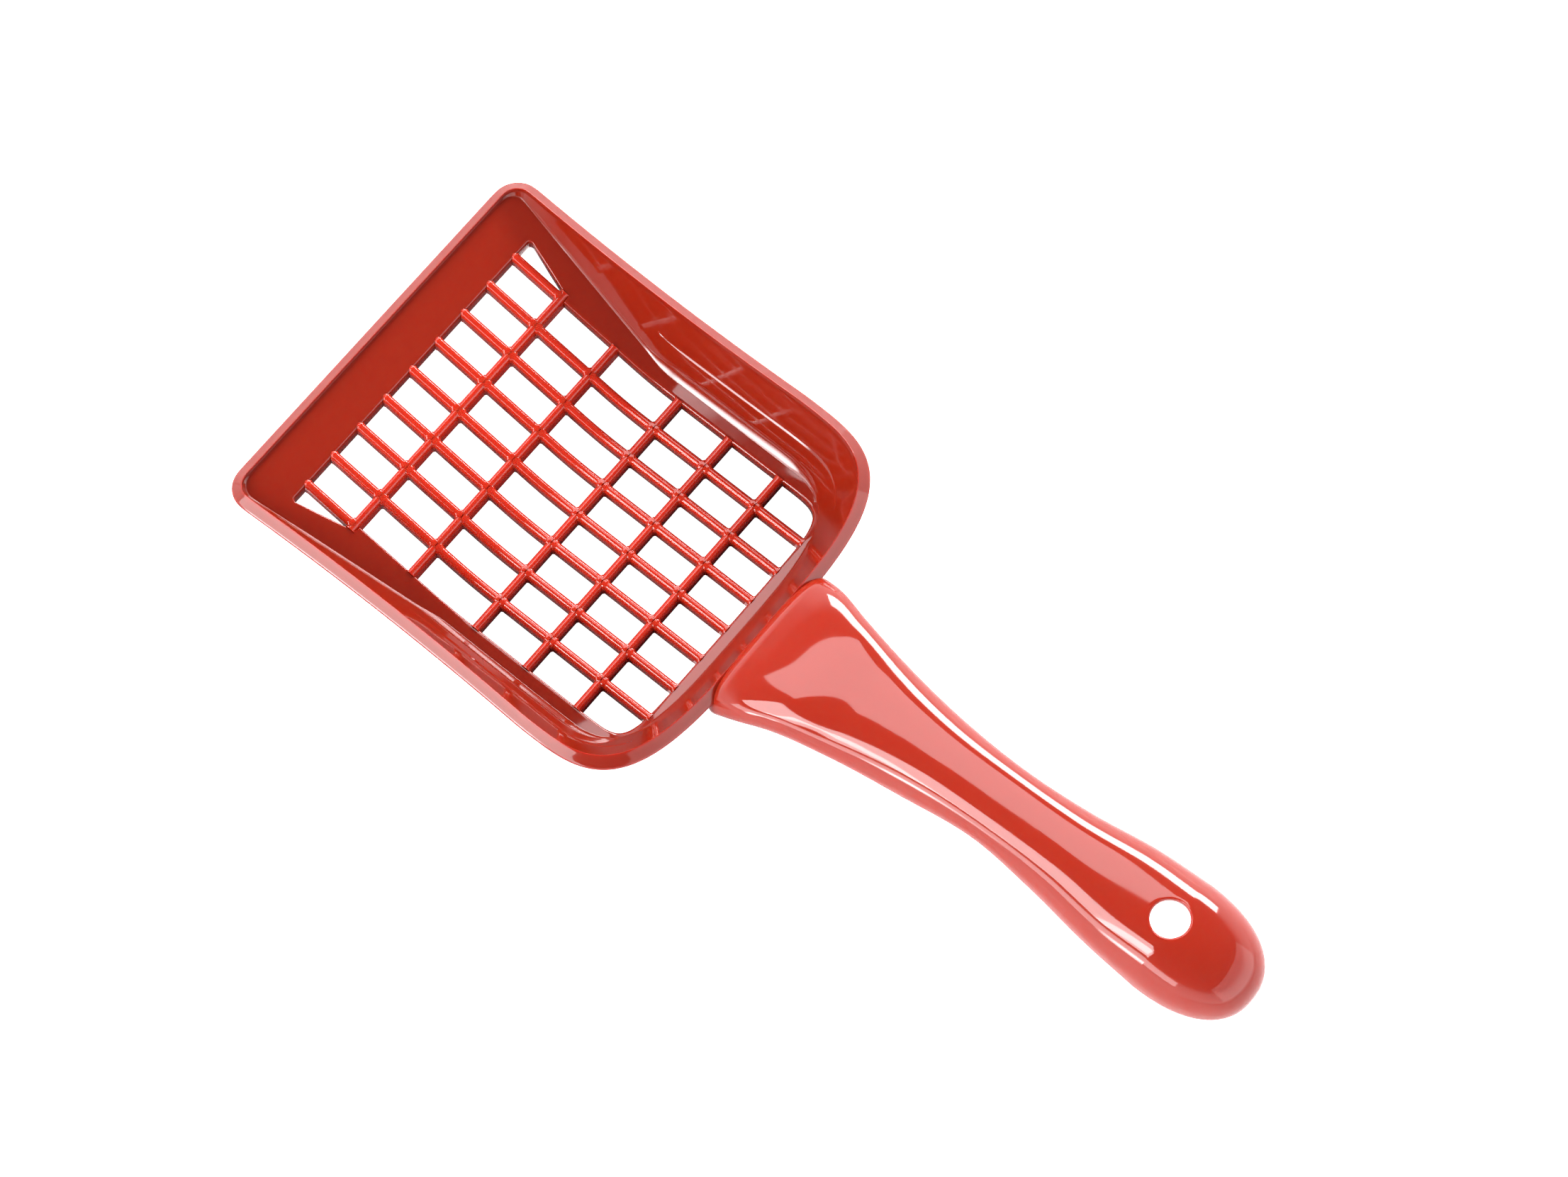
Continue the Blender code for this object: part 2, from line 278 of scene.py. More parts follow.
@dataclass(frozen=True)
class GlossyPlastic:
    """Moulded polypropylene with a high gloss: a deep red with faint flow marks."""

    name: str
    # The default colour is the pan's copy, darkened as painted shade inside the pan.
    colour: tuple[float, float, float] = (0.235, 0.0142, 0.005)
    deeper: tuple[float, float, float] = (0.222, 0.0128, 0.0045)
    roughness: tuple[float, float] = (0.04, 0.075)
    refraction: float = 1.5
    glow: float = 0.6
    glow_depth: float = 0.003
    glow_reach: tuple[float, float, float] = (1.0, 0.12, 0.05)
    cloud_scale: float = 26.0
    smudge_scale: float = 60.0
    smudge_span: tuple[float, float] = (0.3, 0.7)
    wave_scale: float = 45.0
    wave_depth: float = 0.00006
    grain_scale: float = 2600.0
    grain_depth: float = 0.0000005

    def build(self) -> bpy.types.Material:
        """Makes the node material.

        Returns:
            A Principled material whose colour, roughness and relief come from noise.
        """
        material = bpy.data.materials.new(self.name)
        material.use_nodes = True
        nodes, links = material.node_tree.nodes, material.node_tree.links
        shader = nodes["Principled BSDF"]
        shader.inputs["IOR"].default_value = self.refraction
        shader.inputs["Subsurface Weight"].default_value = self.glow
        shader.inputs["Subsurface Radius"].default_value = self.glow_reach
        shader.inputs["Subsurface Scale"].default_value = self.glow_depth
        place = nodes.new("ShaderNodeTexCoord").outputs["Object"]

        def noise(scale: float, detail: float) -> bpy.types.NodeSocket:
            """A cloud of noise in the object's own place.

            Args:
                scale: How fine it is.
                detail: How many finer clouds are laid over it.

            Returns:
                The socket that gives its strength.
            """
            node = nodes.new("ShaderNodeTexNoise")
            node.inputs["Scale"].default_value = scale
            node.inputs["Detail"].default_value = detail
            links.new(place, node.inputs["Vector"])
            return node.outputs["Fac"]

        mix = nodes.new("ShaderNodeMix")
        mix.data_type = "RGBA"
        mix.inputs["A"].default_value = (*self.deeper, 1.0)
        mix.inputs["B"].default_value = (*self.colour, 1.0)
        links.new(noise(self.cloud_scale, 3.0), mix.inputs["Factor"])
        links.new(mix.outputs["Result"], shader.inputs["Base Color"])

        smudges = nodes.new("ShaderNodeMapRange")
        span = zip(("From Min", "From Max", "To Min", "To Max"), self.smudge_span + self.roughness)
        for socket, value in span:
            smudges.inputs[socket].default_value = value
        links.new(noise(self.smudge_scale, 4.0), smudges.inputs["Value"])
        links.new(smudges.outputs["Result"], shader.inputs["Roughness"])

        normal = None
        reliefs = ((self.wave_scale, self.wave_depth), (self.grain_scale, self.grain_depth))
        for scale, depth in reliefs:
            bump = nodes.new("ShaderNodeBump")
            bump.inputs["Strength"].default_value = 1.0
            bump.inputs["Distance"].default_value = depth
            links.new(noise(scale, 2.0), bump.inputs["Height"])
            if normal is not None:
                links.new(normal, bump.inputs["Normal"])
            normal = bump.outputs["Normal"]
        links.new(normal, shader.inputs["Normal"])
        return material


class Moulder:
    """Turns grids of points into finished pieces of the scoop."""

    def __init__(self, layout: Layout, material: bpy.types.Material) -> None:
        """Keeps what every piece shares.

        Args:
            layout: The scoop's layout.
            material: The plastic that the pieces take.
        """
        self.layout = layout
        self.material = material

    def piece(
        self, name: str, points: np.ndarray, faces: list[tuple[int, ...]], nodes: list[str]
    ) -> bpy.types.Object:
        """Makes one piece, and has it ride on the scoop's body in place of its CAD nodes.

        Args:
            name: The piece's name.
            points: Its points, in pitches, one row each.
            faces: Point numbers of each face.
            nodes: The CAD nodes that the piece stands for.

        Returns:
            The piece.
        """
        # A grid's points inside an opening belong to no face, and are left out.
        used = sorted({point for face in faces for point in face})
        number = {old: new for new, old in enumerate(used)}
        faces = [tuple(number[point] for point in face) for face in faces]
        mesh = bpy.data.meshes.new(name)
        mesh.from_pydata(self.layout.metres(points[used]).tolist(), [], faces)
        mesh.update()
        mesh.validate()
        mesh.shade_smooth()
        mesh.set_sharp_from_angle(angle=SHARP_ANGLE)
        mesh.materials.append(self.material)
        made = bpy.data.objects.new(name, mesh)
        bpy.context.scene.collection.objects.link(made)
        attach(made, BODY)
        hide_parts(*nodes)
        LOG.info("%s: %d faces, for %d nodes", name, len(mesh.polygons), len(nodes))
        return made

    @staticmethod
    def tube_faces(rings: int, sides: int, closed: bool, start: int = 0) -> list[tuple[int, ...]]:
        """Faces of a tube through rings of points that follow each other.

        Args:
            rings: How many rings there are.
            sides: How many points each ring has.
            closed: Whether the last ring joins the first one. If not, both ends get a cap.
            start: The number of the first ring's first point.

        Returns:
            The faces, all turned the same way.
        """
        faces: list[tuple[int, ...]] = []
        for i in range(rings if closed else rings - 1):
            a, b = start + i * sides, start + (i + 1) % rings * sides
            for j in range(sides):
                k = (j + 1) % sides
                faces.append((a + j, a + k, b + k, b + j))
        if not closed:
            last = start + (rings - 1) * sides
            faces.append(tuple(start + j for j in reversed(range(sides))))
            faces.append(tuple(last + j for j in range(sides)))
        return faces


@dataclass
class Ring:
    """The closed lines that the pan's shell follows in plan, and the directions across them.

    Each line has one row for each place round the pan. The kind of a place is 0 at the front, 1
    along the sides and 2 at the rear.
    """

    opening: np.ndarray
    crease: np.ndarray
    inner: np.ndarray
    outer: np.ndarray
    kind: np.ndarray

    def __post_init__(self) -> None:
        """Works out the width of the floor's margin and which ways lead out of the pan."""
        across = self.crease - self.opening
        self.margin = np.linalg.norm(across, axis=1)
        self.out_floor = across / self.margin[:, None]
        up_wall = self.inner - self.crease
        self.out_wall = up_wall / np.linalg.norm(up_wall, axis=1)[:, None]
        self.rear = np.clip(self.kind - 1.0, 0.0, 1.0)

    def graded(self, values: tuple[float, float, float]) -> np.ndarray:
        """A value at every place, from its values at the front, the sides and the rear."""
        return np.interp(self.kind, (0, 1, 2), values)


@dataclass
class Pan:
    """The pan's shell: floor margins, front plate, walls with their coves, and the rolled rim."""

    layout: Layout
    moulder: Moulder
    wall: float = 0.21
    rib: float = 0.16
    clear: float = 0.016
    soften: float = 0.03
    wall_foot: float = 0.05
    mouth_corner: float = 0.1
    lip_step: float = 0.04
    lip_drop: float = 0.12
    rear_rise: float = 0.06
    settled: float = 2.4
    lower_roll: tuple[tuple[float, float], ...] = ((0.03, 0.0), (0.008, 0.01), (0.0, 0.035))
    upper_roll: tuple[tuple[float, float], ...] = ((0.0, 0.09), (0.012, 0.03), (0.035, 0.006))
    margin_run: tuple[float, ...] = (0.07, 0.11, 0.15, 0.19)
    cove_floor: tuple[float, float, float] = (0.04, 0.08, 0.03)
    cove_wall: tuple[float, float, float] = (0.04, 0.21, 0.05)
    cove_flat: tuple[float, float, float] = (0.0, 0.85, 0.3)
    cove_steps: int = 14
    ramp_cove: float = 0.4
    ramp_cove_span: tuple[float, float] = (5.3, 6.3)
    ledge: float = 0.018
    ledge_place: float = 0.45
    ledge_span: tuple[float, float] = (5.6, 6.6)
    rim_foot: float = 0.35
    rim_tuck: float = 0.77
    front_steps: int = 40
    corner_steps: int = 24
    ramp_steps: int = 16
    step_steps: int = 6
    side_steps: int = 64
    rear_steps: int = 90
    smoothing: int = 8

    def __post_init__(self) -> None:
        """Works out the ring round the pan and the height of the rim's underside."""
        self.ring = self.closed_plan()
        front = 1 - np.minimum(self.ring.kind, 1.0)
        self.base = self.layout.rim_bottom - self.lip_drop * front

    def plan(self) -> tuple[np.ndarray, ...]:
        """The four lines that the shell follows in plan, from the middle of the lip round the left
        side to the middle of the rear.

        Returns:
            The opening's edge, the crease, the rim's inner and outer edges, as equally long lists
            of points, and how much each place belongs to the front, the sides and the rear.
        """
        at = self.layout
        quarter = math.pi / 2
        corner, narrow = at.front_corner, at.front_corner - at.rim_width
        middle = float(at.rim_half(corner)) - corner
        mouth = float(at.opening_half(at.slots_start)) - self.mouth_corner
        opening, crease, inner, outer, kind = [], [], [], [], []

        for x in spread(0.0, middle, self.front_steps)[:-1]:
            opening.append((x * mouth / middle, at.slots_start))
            crease.append((x, at.lip_inner + self.lip_step))
            inner.append((x, at.lip_inner))
            outer.append((x, 0.0))
            kind.append(0.0)

        side_step = middle + narrow - float(at.crease_half(corner))
        mouth_end = float(at.opening_half(at.slots_start + self.mouth_corner))
        for turn in spread(0.0, quarter, self.corner_steps):
            s, c = math.sin(turn), math.cos(turn)
            tight = narrow - self.lip_step - (side_step - self.lip_step) * turn / quarter
            mouth_y = at.slots_start + self.mouth_corner * (1 - c)
            opening.append((mouth + (mouth_end - mouth) * s, mouth_y))
            crease.append((middle + tight * s, corner - tight * c))
            inner.append((middle + narrow * s, corner - narrow * c))
            outer.append((middle + corner * s, corner - corner * c))
            kind.append(turn / quarter)

        mouth_y = at.slots_start + self.mouth_corner
        edge_places = list(spread(mouth_y, self.settled, self.ramp_steps)[1:])
        side_places = list(spread(corner, self.settled, self.ramp_steps)[1:])
        step = at.cross_bars[0] + at.bar_width / 2
        rest = [
            *spread(self.settled, step - 0.01, self.step_steps)[1:],
            *spread(step + 0.01, at.corners_start, self.side_steps),
        ]
        for edge_y, y in zip(edge_places + rest, side_places + rest):
            opening.append((float(at.opening_half(edge_y)), edge_y))
            crease.append((float(at.crease_half(y)), y))
            inner.append((float(at.rim_half(y)) - at.rim_width, y))
            outer.append((float(at.rim_half(y)), y))
            kind.append(1.0)

        angles = spread(0.0, quarter, self.rear_steps)[1:]
        half = float(at.rim_half(at.corners_start))
        rear_outer = at.rear_rim_inner + at.rim_width
        opening.extend(at.rear_corner(at.opening, at.slots_end, at.opening_power, angles))
        crease.extend(at.rear_corner(at.crease, at.rear_crease, at.corner_power, angles))
        inner.extend(
            at.rear_corner(half - at.rim_width, at.rear_rim_inner, at.corner_power, angles)
        )
        outer.extend(at.rear_corner(half, rear_outer, at.corner_power, angles))
        kind.extend(1.0 + soft_step(angles, math.radians(8), math.radians(42)))
        lines = [np.array(line, float) for line in (opening, crease, inner, outer)]
        return (*lines, np.array(kind))

    def full_circle(self, line: np.ndarray, smooth: int) -> np.ndarray:
        """Mirrors half a line to a closed one, and evens out its kinks.

        Args:
            line: The left half, from the middle of the front to the middle of the rear.
            smooth: How many times each point moves towards its neighbours.

        Returns:
            The closed line.
        """
        whole = np.concatenate([line, line[1:-1][::-1] * (-1.0, 1.0)])
        for _ in range(smooth):
            whole = (np.roll(whole, 1, 0) + 2 * whole + np.roll(whole, -1, 0)) / 4
        return whole

    def closed_plan(self) -> Ring:
        """Closes the plan's lines round the pan.

        Returns:
            The ring that the shell's sections stand on.
        """
        opening, crease, inner, outer, kind = self.plan()
        kind = np.concatenate([kind, kind[1:-1][::-1]])
        for _ in range(self.smoothing):
            kind = (np.roll(kind, 1) + 2 * kind + np.roll(kind, -1)) / 4
        return Ring(
            opening=self.full_circle(opening, 0),
            crease=self.full_circle(crease, self.smoothing),
            inner=self.full_circle(inner, self.smoothing),
            outer=self.full_circle(outer, self.smoothing),
            kind=kind,
        )

    def on_floor(self, out: np.ndarray | float, height: float) -> np.ndarray:
        """Points on the floor's margin or under it, at every place round the pan.

        Args:
            out: How far out from the opening's edge the points are.
            height: How high above the base they are, before the floor's rise.

        Returns:
            One point for each place.
        """
        ring = self.ring
        out = np.broadcast_to(out, len(ring.opening))
        flat = ring.opening + ring.out_floor * out[:, None]
        tilt = self.rear_rise * ring.rear * out / ring.margin
        tilted = height > self.layout.floor_bottom
        return np.column_stack([flat, height + tilt * tilted + self.layout.rise(flat[:, 1])])

    def margin(self) -> list[np.ndarray]:
        """The rolled edge round the opening, and the margin that starts there.

        Returns:
            Points from the edge's underside to the margin.
        """
        top = self.layout.floor_top
        points = [self.on_floor(out, self.clear + up) for out, up in self.lower_roll]
        points += [self.on_floor(out, top - down) for out, down in self.upper_roll]
        points += [self.on_floor(out, top) for out in self.margin_run]
        return points

    def inside(self, start: np.ndarray) -> list[np.ndarray]:
        """The rest of the margin, the cove at the wall's foot and the wall with its ledge.

        Args:
            start: The last points on the margin.

        Returns:
            Points from the margin to the rim.
        """
        at, ring = self.layout, self.ring
        along = ring.crease[:, 1]
        on_ramp = 1 - (1 - self.ramp_cove) * (1 - soft_step(along, *self.ramp_cove_span))
        foot_height = at.floor_top + self.rear_rise * ring.rear
        foot = np.column_stack([ring.crease, foot_height + at.rise(along)])
        head = np.column_stack([ring.inner, self.base + self.rim_foot * self.rim_height()])
        wall_line = head - foot
        wall_length = np.linalg.norm(wall_line, axis=1)

        run = self.margin_run[-1]
        cove_floor = np.minimum(ring.graded(self.cove_floor), 0.9 * ring.margin) * on_ramp
        share = np.maximum(ring.margin - cove_floor - run, 0.01) / (ring.margin - run)
        cove_start = start + (foot - start) * share[:, None]
        cove_wall = np.minimum(ring.graded(self.cove_wall), 0.45 * wall_length) * on_ramp
        cove_end = foot + wall_line * (cove_wall / wall_length)[:, None]
        points = [between(start, cove_start, t) for t in (0.3, 0.6, 0.88, 0.97)]
        flat = ring.graded(self.cove_flat)[:, None]
        chord = cove_end - cove_start
        for t in spread(0.0, 1.0, self.cove_steps):
            point = curve(cove_start, foot, cove_end, t)
            points.append(point + (cove_start + chord * t - point) * flat)

        ledge = self.ledge * soft_step(along, *self.ledge_span) * (1 - soft_step(ring.kind, 1.5, 2.0))
        step_out = np.column_stack([ring.out_wall * ledge[:, None], np.zeros(len(ledge))])
        middle = foot + wall_line * self.ledge_place
        below, above = middle - step_out, middle + step_out
        above[:, 2] += 1.2 * ledge
        points += [between(cove_end - step_out, below, t) for t in (0.06, 0.35, 0.7, 0.94, 1.0)]
        points += [between(above, head, t) for t in (0.0, 0.06, 0.3, 0.6, 0.85, 0.94)]
        return points

    def rim_height(self) -> float:
        """How tall the rim's bead is."""
        return self.layout.rim_top - self.layout.rim_bottom

    def bead(self) -> list[np.ndarray]:
        """The turned rim: a tight inner shoulder, a crown and a long flat fall outwards.

        Returns:
            Points from the inner edge over the crown to the underside.
        """
        shoulder = ((0.0, 0.45), (0.0, 0.78), (0.008, 0.92), (0.03, 0.99), (0.06, 0.995))
        fall = ((0.1, 0.965), (0.2, 0.88), (0.32, 0.775), (0.45, 0.665), (0.58, 0.555))
        fall += ((0.7, 0.455), (0.8, 0.37), (0.9, 0.285), (0.97, 0.215))
        turned = ((1.0, 0.14), (0.99, 0.06), (0.93, 0.01), (self.rim_tuck, 0.0))
        inner, outer, height = self.ring.inner, self.ring.outer, self.rim_height()
        return [
            np.column_stack([between(inner, outer, across), self.base + height * up])
            for across, up in shoulder + fall + turned
        ]

    def outside(self) -> list[np.ndarray]:
        """The wall's outer face, the floor's underside and the rib round the opening.

        Returns:
            Points from the rim down and back to the opening.
        """
        at, ring = self.layout, self.ring
        low = at.floor_bottom + at.rise(ring.crease[:, 1])
        head_plan = between(ring.inner, ring.outer, self.wall / at.rim_width)
        head = np.column_stack([head_plan, self.base - self.soften])
        foot = np.column_stack([ring.crease + ring.out_wall * self.wall, low + self.wall_foot])
        head[:, 2] = np.maximum(head[:, 2], foot[:, 2] + 0.01)
        points = [between(head, foot, t) for t in spread(0.0, 1.0, 4)]
        rounded = ring.crease + ring.out_wall * (self.wall - self.wall_foot)
        points.append(np.column_stack([rounded, low]))
        rib = np.minimum(ring.margin, self.rib)
        beside = np.minimum(ring.margin, self.rib + self.soften)
        points.append(self.on_floor(beside, at.floor_bottom))
        points.append(self.on_floor(rib, at.floor_bottom - self.soften))
        points.append(self.on_floor(rib, self.soften))
        points.append(self.on_floor(rib - self.soften, self.clear))
        return points

    def sections(self) -> np.ndarray:
        """The shell's closed section at every place round the pan.

        Returns:
            An array of places by points by three.
        """
        margin = self.margin()
        section = margin + self.inside(margin[-1]) + self.bead() + self.outside()
        return np.stack(section, axis=1)

    def build(self) -> None:
        """Builds the shell in place of the CAD nodes round the slots."""
        grid = self.sections()
        places, sides, _ = grid.shape
        faces = self.moulder.tube_faces(places, sides, closed=True)
        nodes = ["front_plate", "front_lip", "floor_rear", "wall_rear"]
        for part in ("floor", "wall", "corner", "rim"):
            nodes += [f"{part}_left", f"{part}_right"]
        self.moulder.piece("pan_shell", grid.reshape(-1, 3), faces, nodes)


@dataclass
class Grid:
    """The slotted floor: rounded bars along the pan and across it, which cross at one level."""

    layout: Layout
    moulder: Moulder
    crown: float = 0.15
    crown_power: float = 2.2
    web: float = 0.045
    run_on: float = 0.14
    sunk: float = 0.06
    edge: float = 0.02
    cross_clear: float = 0.008
    sides: int = 15
    spacing: float = 0.03
    outermost: int = 4
    tuck: float = 0.05
    side_tuck: float = 0.04

    def half_width(self, along: np.ndarray, crossings: list[tuple[float, float]]) -> np.ndarray:
        """Half a bar's width along its run, with a round web into whatever it meets.

        Args:
            along: Places along the bar.
            crossings: The place and the half width of each thing that the bar meets.

        Returns:
            The half width at each place.
        """
        plain = self.layout.bar_width / 2
        half = np.full(len(along), plain)
        for place, reach in crossings:
            away = np.clip(np.abs(along - place) - reach, 0.0, self.web)
            drop = np.sqrt(self.web**2 - (self.web - away) ** 2)
            half = np.maximum(half, plain + self.web - drop)
        return half

    def section(
        self, half: np.ndarray, sink: np.ndarray, clear: float
    ) -> tuple[np.ndarray, np.ndarray]:
        """A bar's section at places along it.

        Args:
            half: Half the bar's width at each place.
            sink: How far the top is lowered at each place.
            clear: How far the underside is above the plane that the scoop rests on.

        Returns:
            How far across and how far up each point is, as arrays of places by points.
        """
        depth = self.layout.bar_depth
        angle = spread(math.pi, 0.0, self.sides)
        across = np.sign(np.cos(angle)) * np.abs(np.cos(angle)) ** (2 / self.crown_power)
        height = depth - self.crown + self.crown * superellipse(across, self.crown_power)
        flat = half[:, None] - self.layout.bar_width / 2
        u = across[None, :] * (self.layout.bar_width / 2) + np.sign(across)[None, :] * flat
        up = np.broadcast_to(height[None, :], u.shape) - sink[:, None]
        low = np.stack([half, half - self.edge, self.edge - half, -half], axis=1)
        low_up = np.broadcast_to(np.array((self.edge, 0.0, 0.0, self.edge)) + clear, low.shape)
        return np.concatenate([u, low], axis=1), np.concatenate([up, low_up], axis=1)

    def bar(self, run: Run, number: int, offset: float, ends: tuple[float, float]) -> None:
        """Builds one bar in place of its CAD node.

        Args:
            run: Which way the bar runs.
            number: Its number among the bars that run that way.
            offset: Where it lies across its run.
            ends: Where it starts and ends along its run.
        """
        at = self.layout
        along = spread(ends[0], ends[1], round((ends[1] - ends[0]) / self.spacing))
        if run is Run.LONG:
            crossings = [(y, at.bar_width / 2) for y in at.cross_bars]
            crossings += [(at.slots_start - 1, 1.0), (at.slots_end + 1, 1.0)]
            sink = self.sunk * (1 - soft_step(along, at.slots_start - self.run_on, at.slots_start))
            half = self.half_width(along, crossings)
            half = np.where(along < at.slots_start, at.bar_width / 2, half)
            u, up = self.section(half, sink, 0.0)
            y = np.broadcast_to(along[:, None], u.shape)
            points = np.stack([offset + u, y, up + at.rise(y)], axis=2)
        else:
            reach = ends[1]
            half = self.half_width(along, [(-reach - 1, 1.0), (reach + 1, 1.0)])
            u, up = self.section(half, np.zeros(len(along)), self.cross_clear)
            x = np.broadcast_to(along[:, None], u.shape)
            points = np.stack([x, offset - u, up + at.rise(offset - u)], axis=2)
        places, sides, _ = points.shape
        name = f"{run.value}_bar_{number}"
        faces = self.moulder.tube_faces(places, sides, closed=False)
        self.moulder.piece(f"{name}_rounded", points.reshape(-1, 3), faces, [name])

    def build(self) -> None:
        """Builds every bar, first those along the pan and then those across it."""
        at = self.layout
        outer = self.outermost
        for number, x in enumerate(range(-outer, outer + 1), start=1):
            rear = at.cross_bars[0] if abs(x) == outer else at.slots_end + self.tuck
            self.bar(Run.LONG, number, float(x), (at.slots_start - self.run_on, rear))
        for number, y in enumerate(at.cross_bars, start=1):
            reach = float(at.opening_half(y)) + self.side_tuck
            self.bar(Run.CROSS, number, y, (-reach, reach))


@dataclass
class Handle:
    """The arched handle: a shell that is hollow underneath, with a hanging hole near its end."""

    layout: Layout
    moulder: Moulder
    stations: tuple[tuple[float, float, float, float], ...] = (
        (13.06, 2.22, 1.5, 2.52),
        (13.7, 2.13, 1.93, 2.78),
        (14.65, 1.86, 2.28, 3.07),
        (16.2, 1.53, 2.5, 3.3),
        (18.2, 1.24, 2.7, 3.58),
        (20.45, 1.07, 3.18, 3.9),
        (22.2, 1.2, 3.22, 4.16),
        (24.1, 1.46, 3.35, 4.45),
        (25.6, 1.56, 3.32, 4.66),
    )
    start: float = 12.8
    front_radius: float = 0.34
    corner: float = 0.42
    thickness: float = 0.21
    power: float = 2.3
    root_power: float = 3.2
    hole_place: float = 25.43
    hole_radius: float = 0.485
    hole_edge: float = 0.06
    front_drop: float = 0.9
    arch_settled: float = 17.0
    hole_patch: tuple[float, float] = (0.86, 1.02)
    edge_roll: tuple[tuple[float, float], ...] = ((0.1, 0.03), (0.3, 0.05), (0.7, 0.05), (0.9, 0.03))
    sides: int = 72
    roll_steps: int = 14
    length_steps: int = 190
    end_steps: int = 44

    def values(self, y: np.ndarray) -> tuple[np.ndarray, ...]:
        """The handle's shape along its length, on smooth curves through its stations.

        Args:
            y: Places along the handle.

        Returns:
            Half the width, the height of the lower edge and the height of the crown.
        """
        table = np.array(self.stations)
        places = table[:, 0]
        slopes = np.gradient(table[:, 1:], places, axis=0)
        k = np.clip(np.searchsorted(places, y, side="right") - 1, 0, len(places) - 2)
        span = (places[k + 1] - places[k])[:, None]
        t = np.clip((y - places[k])[:, None] / span, -0.5, 1.0)
        p0, p1 = table[k, 1:], table[k + 1, 1:]
        m0, m1 = slopes[k] * span, slopes[k + 1] * span
        shape = (2 * t**3 - 3 * t**2 + 1) * p0 + (t**3 - 2 * t**2 + t) * m0
        shape += (3 * t**2 - 2 * t**3) * p1 + (t**3 - t**2) * m1
        half, low, crown = shape.T
        end = places[-1]
        beyond = np.clip((y - end) / (self.layout.length - end), 0.0, 1.0)
        closing = superellipse(beyond, self.power)
        half, crown = half * closing, low + (crown - low) * closing
        ahead = np.clip(1 - (y - self.start) / self.corner, 0.0, 1.0)
        half = half - self.corner * (1 - np.sqrt(1 - ahead**2))
        ahead = np.clip(1 - (y - self.start) / self.front_radius, 0.0, 1.0)
        crown = crown - self.front_radius * (1 - np.sqrt(1 - ahead**2)) * self.front_drop
        return half, low, crown

    def arch_power(self, y: np.ndarray) -> np.ndarray:
        """How square the arch is at y: flat-topped at the root, rounder from the neck on."""
        settling = soft_step(y, self.start, self.arch_settled)
        return self.root_power + (self.power - self.root_power) * settling

    def height(self, x: np.ndarray, y: np.ndarray, inset: float) -> np.ndarray:
        """The height of the arch at points in plan.

        Args:
            x: Places across the handle.
            y: Places along it.
            inset: How far the surface lies inside the outer one.

        Returns:
            The height at each point.
        """
        half, low, crown = self.values(y)
        half, crown = np.maximum(half - inset, TINY), np.maximum(crown - inset, low)
        return low + (crown - low) * superellipse(np.clip(x / half, -1, 1), self.arch_power(y))

    def places(self) -> np.ndarray:
        """Where the sections stand along the handle, closer together at both ends.

        Returns:
            Places along the handle, from its front to its end.
        """
        quarter = math.pi / 2
        end = self.stations[-1][0]
        roll = self.start + self.corner * (1 - np.cos(spread(0.0, quarter, self.roll_steps)))
        long = spread(self.start + self.corner, end, self.length_steps)[1:]
        turn = spread(0.0, quarter, self.end_steps)[1:]
        rounded = end + (self.layout.length - end) * np.sin(turn) ** (2 / self.power)
        return np.concatenate([roll, long, rounded])

    def arch(self, y: np.ndarray, place: np.ndarray, shape: tuple[np.ndarray, ...]) -> np.ndarray:
        """A surface of the shell as a grid.

        Args:
            y: Where each section belongs along the handle.
            place: Where it stands, which differs where the hollow ends short of the outside.
            shape: Half its width, and the heights of its lower edge and its crown.

        Returns:
            An array of sections by points by three.
        """
        half, low, crown = (values[:, None] for values in shape)
        c = np.cos(spread(0.0, math.pi, self.sides))[None, :]
        power = self.arch_power(y)[:, None]
        across = np.sign(c) * np.abs(c) ** (2 / power)
        z = low + (crown - low) * superellipse(across, power)
        return np.stack([half * across, np.broadcast_to(place[:, None], z.shape), z], axis=2)

    def shell(self) -> tuple[np.ndarray, list[tuple[int, ...]]]:
        """The shell with its hole.

        Returns:
            Its points and faces.
        """
        y = self.places()
        outer = self.arch(y, y, self.values(y))
        inner = self.hollow(y)
        lip = self.lower_edge(outer, inner)
        rows, columns = outer.shape[:2]
        from_hole = np.abs(y - self.hole_place)
        inside_y = from_hole < self.hole_patch[1]
        inside_x = np.abs(outer[np.argmin(from_hole), :, 0]) < self.hole_patch[0]
        r0, r1 = np.flatnonzero(inside_y)[[0, -1]]
        c0, c1 = np.flatnonzero(inside_x)[[0, -1]]
        points = [outer.reshape(-1, 3), inner.reshape(-1, 3)]
        faces: list[tuple[int, ...]] = []
        for start, turned in ((0, False), (rows * columns, True)):
            for i in range(rows - 1):
                for j in range(columns - 1):
                    if r0 <= i < r1 and c0 <= j < c1:
                        continue
                    quad = (
                        start + i * columns + j,
                        start + (i + 1) * columns + j,
                        start + (i + 1) * columns + j + 1,
                        start + i * columns + j + 1,
                    )
                    faces.append(quad[::-1] if turned else quad)
        edge_points, edge_faces, total = self.edges(lip, rows, columns, 2 * rows * columns)
        points += edge_points
        faces += edge_faces
        hole_points, hole_faces = self.hole(outer, inner, (r0, r1, c0, c1), total)
        points += hole_points
        faces += hole_faces
        front_inner = [rows * columns + j for j in reversed(range(columns))]
        faces.append((*range(columns), *front_inner))
        return np.concatenate(points), faces

